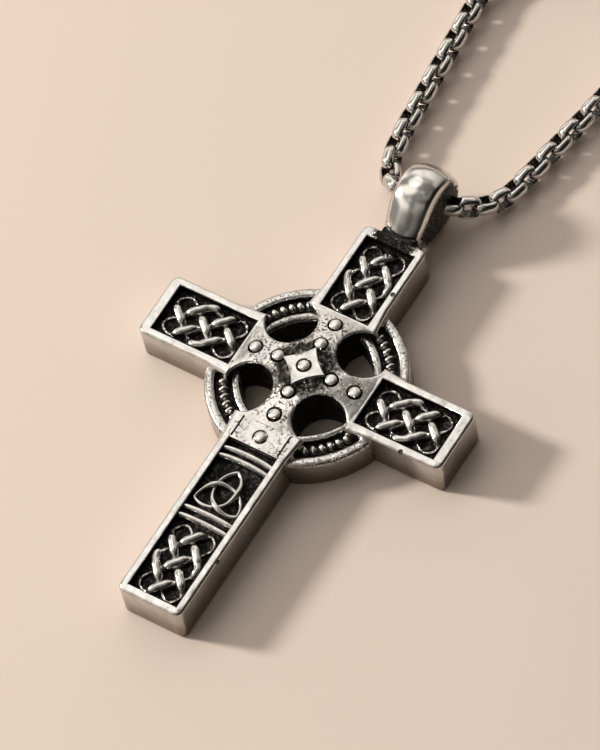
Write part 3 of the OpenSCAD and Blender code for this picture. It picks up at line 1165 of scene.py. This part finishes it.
# %% Helpers for building a material from nodes
class Workbench:
    """A material, or the world, with its nodes at hand."""

    def __init__(self, owner, shader="Principled BSDF", place="Object"):
        self.owner = owner
        owner.use_nodes = True
        self.tree = owner.node_tree
        self.shader = self.tree.nodes[shader]
        self.place = self.add("ShaderNodeTexCoord").outputs[place]

    def add(self, kind, **values):
        node = self.tree.nodes.new(kind)
        for name, value in values.items():
            setattr(node, name, value)
        return node

    def join(self, source, socket):
        self.tree.links.new(source, socket)

    def noise(self, per_mm, detail=3.0, roughness=0.5):
        node = self.add("ShaderNodeTexNoise")
        self.join(self.place, node.inputs["Vector"])
        node.inputs["Scale"].default_value = per_mm / MM
        node.inputs["Detail"].default_value = detail
        node.inputs["Roughness"].default_value = roughness
        return node.outputs["Fac"]

    def measured(self, operation, vector):
        """The place's distance from a spot, or how far it lies in a direction."""
        node = self.add("ShaderNodeVectorMath", operation=operation)
        self.join(self.place, node.inputs[0])
        node.inputs[1].default_value = vector
        return node.outputs["Value"]

    def frayed(self, share, noise, strength):
        """A share whose edge will be broken up by the noise."""
        off = self.math("MULTIPLY", self.math("SUBTRACT", noise, 0.5), strength)
        return self.math("ADD", share, off)

    def attribute(self, name):
        node = self.add("ShaderNodeAttribute")
        node.attribute_name = name
        return node.outputs["Fac"]

    def math(self, operation, a, b):
        node = self.add("ShaderNodeMath", operation=operation)
        for value, socket in zip((a, b), node.inputs):
            if isinstance(value, (int, float)):
                socket.default_value = value
            else:
                self.join(value, socket)
        return node.outputs[0]

    def between(self, value, low, high, at_low=0.0, at_high=1.0):
        node = self.add("ShaderNodeMapRange", interpolation_type="SMOOTHSTEP")
        self.join(value, node.inputs["Value"])
        ends = {"From Min": low, "From Max": high, "To Min": at_low, "To Max": at_high}
        for name, number in ends.items():
            node.inputs[name].default_value = number
        return node.outputs["Result"]

    def mixed(self, share, first, second):
        node = self.add("ShaderNodeMix", data_type="RGBA")
        self.join(share, node.inputs["Factor"])
        for value, socket in ((first, node.inputs["A"]), (second, node.inputs["B"])):
            if isinstance(value, tuple):
                socket.default_value = (*value, 1)
            else:
                self.join(value, socket)
        return node.outputs["Result"]

    def bumped(self, height, strength, depth, under=None):
        node = self.add("ShaderNodeBump")
        self.join(height, node.inputs["Height"])
        node.inputs["Strength"].default_value = strength
        node.inputs["Distance"].default_value = depth * MM
        if under:
            self.join(under, node.inputs["Normal"])
        return node.outputs["Normal"]

    def feed(self, **sources):
        """Joins sources to the shader's sockets, whose names are written with underscores."""
        for name, source in sources.items():
            self.join(source, self.shader.inputs[name.replace("_", " ")])


def steel_bench(name):
    bench = Workbench(bpy.data.materials.new(name))
    bench.shader.inputs["Metallic"].default_value = 1.0
    return bench


# %% The colours
bright_steel = (0.62, 0.602, 0.58)
grey_steel = (0.36, 0.345, 0.325)
# The brown of the painted shade on the lower side walls of the casting.
painted_wall_shade = (0.165, 0.122, 0.092)
dark_crust = (0.075, 0.07, 0.064)
# The black oxide of the casting, and also the painted shade inside the bail and the links.
oxide_and_shade_black = (0.012, 0.011, 0.010)
print("the steel is", bright_steel)


# %% The casting's material
def casting_steel():
    bench = steel_bench("cast_steel")
    from_solder = bench.measured("DISTANCE", Vector((0, head_reach, thick)) * MM)
    burnt = bench.between(from_solder, 1.6 * MM, 3.5 * MM, 0.85, 0.0)
    tarnish_and_shade = bench.math("MAXIMUM", bench.attribute("tarnish_and_shade"), burnt)
    pitting = bench.math("MAXIMUM", bench.attribute("pitting"), burnt)
    mottle = bench.noise(2.6, 4.0, 0.6)
    specks = bench.noise(3.6, 2.5, 0.6)
    edge = bench.frayed(tarnish_and_shade, mottle, 0.9)
    shown = bench.between(tarnish_and_shade, 0.02, 0.2)
    film_and_shade = bench.math("MULTIPLY", bench.between(edge, 0.42, 0.72), shown)
    pocked = bench.math("MULTIPLY", bench.between(specks, 0.565, 0.615),
                        bench.between(pitting, 0.2, 0.9, 0.0, 0.85))
    black = bench.math("MAXIMUM", film_and_shade, pocked)
    for _, spot in pits:
        from_pit = bench.measured("DISTANCE", Vector(spot) * MM)
        drilled = bench.between(from_pit, 0.8 * pit_r * MM, 1.2 * pit_r * MM, 1.0, 0.0)
        black = bench.math("MAXIMUM", black, drilled)
    dull = bench.between(bench.noise(0.7), 0.35, 0.7, 0.0, 0.35)
    worn_and_shaded = bench.mixed(dull, bright_steel, grey_steel)
    # Painted shade: towards the bottom the side walls are mixed into a dark brown, for the shaded
    # table that they reflect.
    height = bench.add("ShaderNodeSeparateXYZ")
    bench.join(bench.place, height.inputs["Vector"])
    low = bench.between(height.outputs["Z"], 0.5 * MM, 4.0 * MM, 0.85, 0.0)
    worn_and_shaded = bench.mixed(low, worn_and_shaded, painted_wall_shade)
    crust = bench.noise(2.2, 4.0, 0.7)
    oxide_and_shade = bench.mixed(bench.between(crust, 0.48, 0.66), oxide_and_shade_black, dark_crust)
    wavy = bench.bumped(bench.noise(0.55, 2.0), 0.7, 0.2)
    grainy = bench.bumped(bench.noise(7.0, 3.0), 0.35, 0.02, wavy)
    rough = bench.bumped(bench.math("MULTIPLY", crust, film_and_shade), 0.9, 0.25, grainy)
    skin = bench.bumped(bench.math("SUBTRACT", 1.0, pocked), 0.8, 0.08, rough)
    bench.feed(Base_Color=bench.mixed(black, worn_and_shaded, oxide_and_shade),
               Roughness=bench.between(black, 0.0, 1.0, 0.2, 0.38), Normal=skin)
    return bench.owner


# %% The polished pieces' materials
def hazy_polish(name):
    bench = steel_bench(name)
    haze = bench.noise(1.3, 4.0, 0.6)
    dull = bench.between(haze, 0.3, 0.75, 0.0, 0.35)
    bench.feed(Base_Color=bench.mixed(dull, bright_steel, grey_steel),
               Roughness=bench.between(haze, 0.3, 0.8, 0.14, 0.24),
               Normal=bench.bumped(bench.noise(0.5, 2.0), 0.4, 0.04))
    return bench.owner


def polish_with_shade_and_solder(name):
    """The polished steel, black where the tarnish_and_shade attribute says so: painted shade inside
    the bail and the links, and the dark solder.
    """
    bench = steel_bench(name)
    tarnish_and_shade = bench.attribute("tarnish_and_shade")
    edge = bench.frayed(tarnish_and_shade, bench.noise(3.2, 3.0, 0.6), 0.8)
    shown = bench.between(tarnish_and_shade, 0.05, 0.2)
    black = bench.math("MULTIPLY", bench.between(edge, 0.35, 0.7, 0.0, 0.97), shown)
    bench.feed(Base_Color=bench.mixed(black, bright_steel, oxide_and_shade_black),
               Roughness=bench.between(black, 0.0, 1.0, 0.14, 0.4),
               Normal=bench.bumped(bench.noise(0.45, 2.0), 0.4, 0.05))
    return bench.owner


def give(piece, material):
    piece.data.materials.clear()
    piece.data.materials.append(material)


give(casting, casting_steel())
give(bail, polish_with_shade_and_solder("bail_steel"))
give(clasp, hazy_polish("clasp_steel"))
chain_steel = polish_with_shade_and_solder("chain_steel")
for piece in (*links, coil):
    give(piece, chain_steel)
print("finished", len(links) + 4, "pieces")

# %% [markdown]
# ## Table, light and camera
#
# Polished steel shows its surroundings more than itself, so the light is laid out for what
# it reflects: a wide round panel over the far side whitens the flat tops, a small round lamp
# low on the left throws the shadow, and the sky darkens to the right and has soft patches,
# so that domes and rounded edges get a dark side and cloudy lights. The table is a plain
# warm one, which the side walls reflect.

# %% The table
look_at_only(None)
bpy.ops.mesh.primitive_plane_add(size=3, location=(0, 0, -0.05 * MM))
table = bpy.context.object
table.name = "table"
table_bench = Workbench(bpy.data.materials.new("table_paint"))
table_bench.shader.inputs["Base Color"].default_value = (0.71, 0.6, 0.53, 1)
table_bench.shader.inputs["Roughness"].default_value = 0.9
give(table, table_bench.owner)
table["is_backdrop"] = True
print("the table is", round(table.dimensions.x, 2), "m wide")


# %% The lamps
def panel_lamp(name, direction, distance, size, radiance, colour):
    """A round lamp that faces the cross. Its power follows from how bright it looks."""
    data = bpy.data.lights.new(name, "AREA")
    data.shape = "DISK"
    data.size = size
    data.energy = radiance * math.pi * math.pi / 4 * size ** 2
    data.color = colour
    lamp = bpy.data.objects.new(name, data)
    bpy.context.collection.objects.link(lamp)
    away = Vector(direction).normalized()
    lamp.location = away * distance
    lamp.rotation_mode = "QUATERNION"
    lamp.rotation_quaternion = away.to_track_quat("Z", "Y")
    print(name, "gives", round(data.energy, 3), "W")


panel_lamp("low_left_lamp", (-0.85, -0.28, 0.46), 0.7, 0.1, 225, (1.0, 0.94, 0.86))
panel_lamp("far_panel", (-0.45, 0.36, 0.82), 0.6, 0.34, 1.05, (1.0, 0.98, 0.95))

# %% The sky
sky = Workbench(bpy.data.worlds.new("sky"), "Background", "Generated")
bpy.context.scene.world = sky.owner
leftward = sky.measured("DOT_PRODUCT", (-0.85, 0.1, 0.4))
patches = sky.noise(1.7 * MM, 1.0)
sky.feed(Strength=sky.math("MULTIPLY", sky.between(leftward, -0.3, 0.75, 0.03, 1.2),
                           sky.between(patches, 0.38, 0.6, 0.3, 1.3)))
sky.shader.inputs["Color"].default_value = (1.0, 0.94, 0.86, 1)
print("the sky is bright on the left, in soft patches")

# %% The camera
lens = bpy.data.cameras.new("camera")
camera = bpy.data.objects.new("camera", lens)
bpy.context.collection.objects.link(camera)
azimuth, elevation, tilt = (math.radians(angle) for angle in (43.87, 57.95, -14.26))
camera_far, focal = 582.5, 292.35
target = Vector((-0.21, -0.62, thick)) * MM
level = math.cos(elevation)
back = Vector((math.sin(azimuth) * level, -math.cos(azimuth) * level, math.sin(elevation)))
right = (-back).cross(Vector((0, 0, 1))).normalized()
up = right.cross(-back)
turned_right = math.cos(tilt) * right + math.sin(tilt) * up
turned_up = -math.sin(tilt) * right + math.cos(tilt) * up
camera.matrix_world = Matrix.Translation(target + back * camera_far * MM) @ Matrix(
    (turned_right, turned_up, back)).transposed().to_4x4()
lens.lens = focal
lens.sensor_width = 36
lens.clip_start = 0.01
bpy.context.scene.camera = camera
bpy.context.scene.view_settings.view_transform = "Standard"
print("the camera stands", camera_far, "mm away")

# %% Print the sizes and finish
low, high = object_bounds()
print("the lesson's pieces reach", [round(v / MM, 1) for v in high - low], "mm")
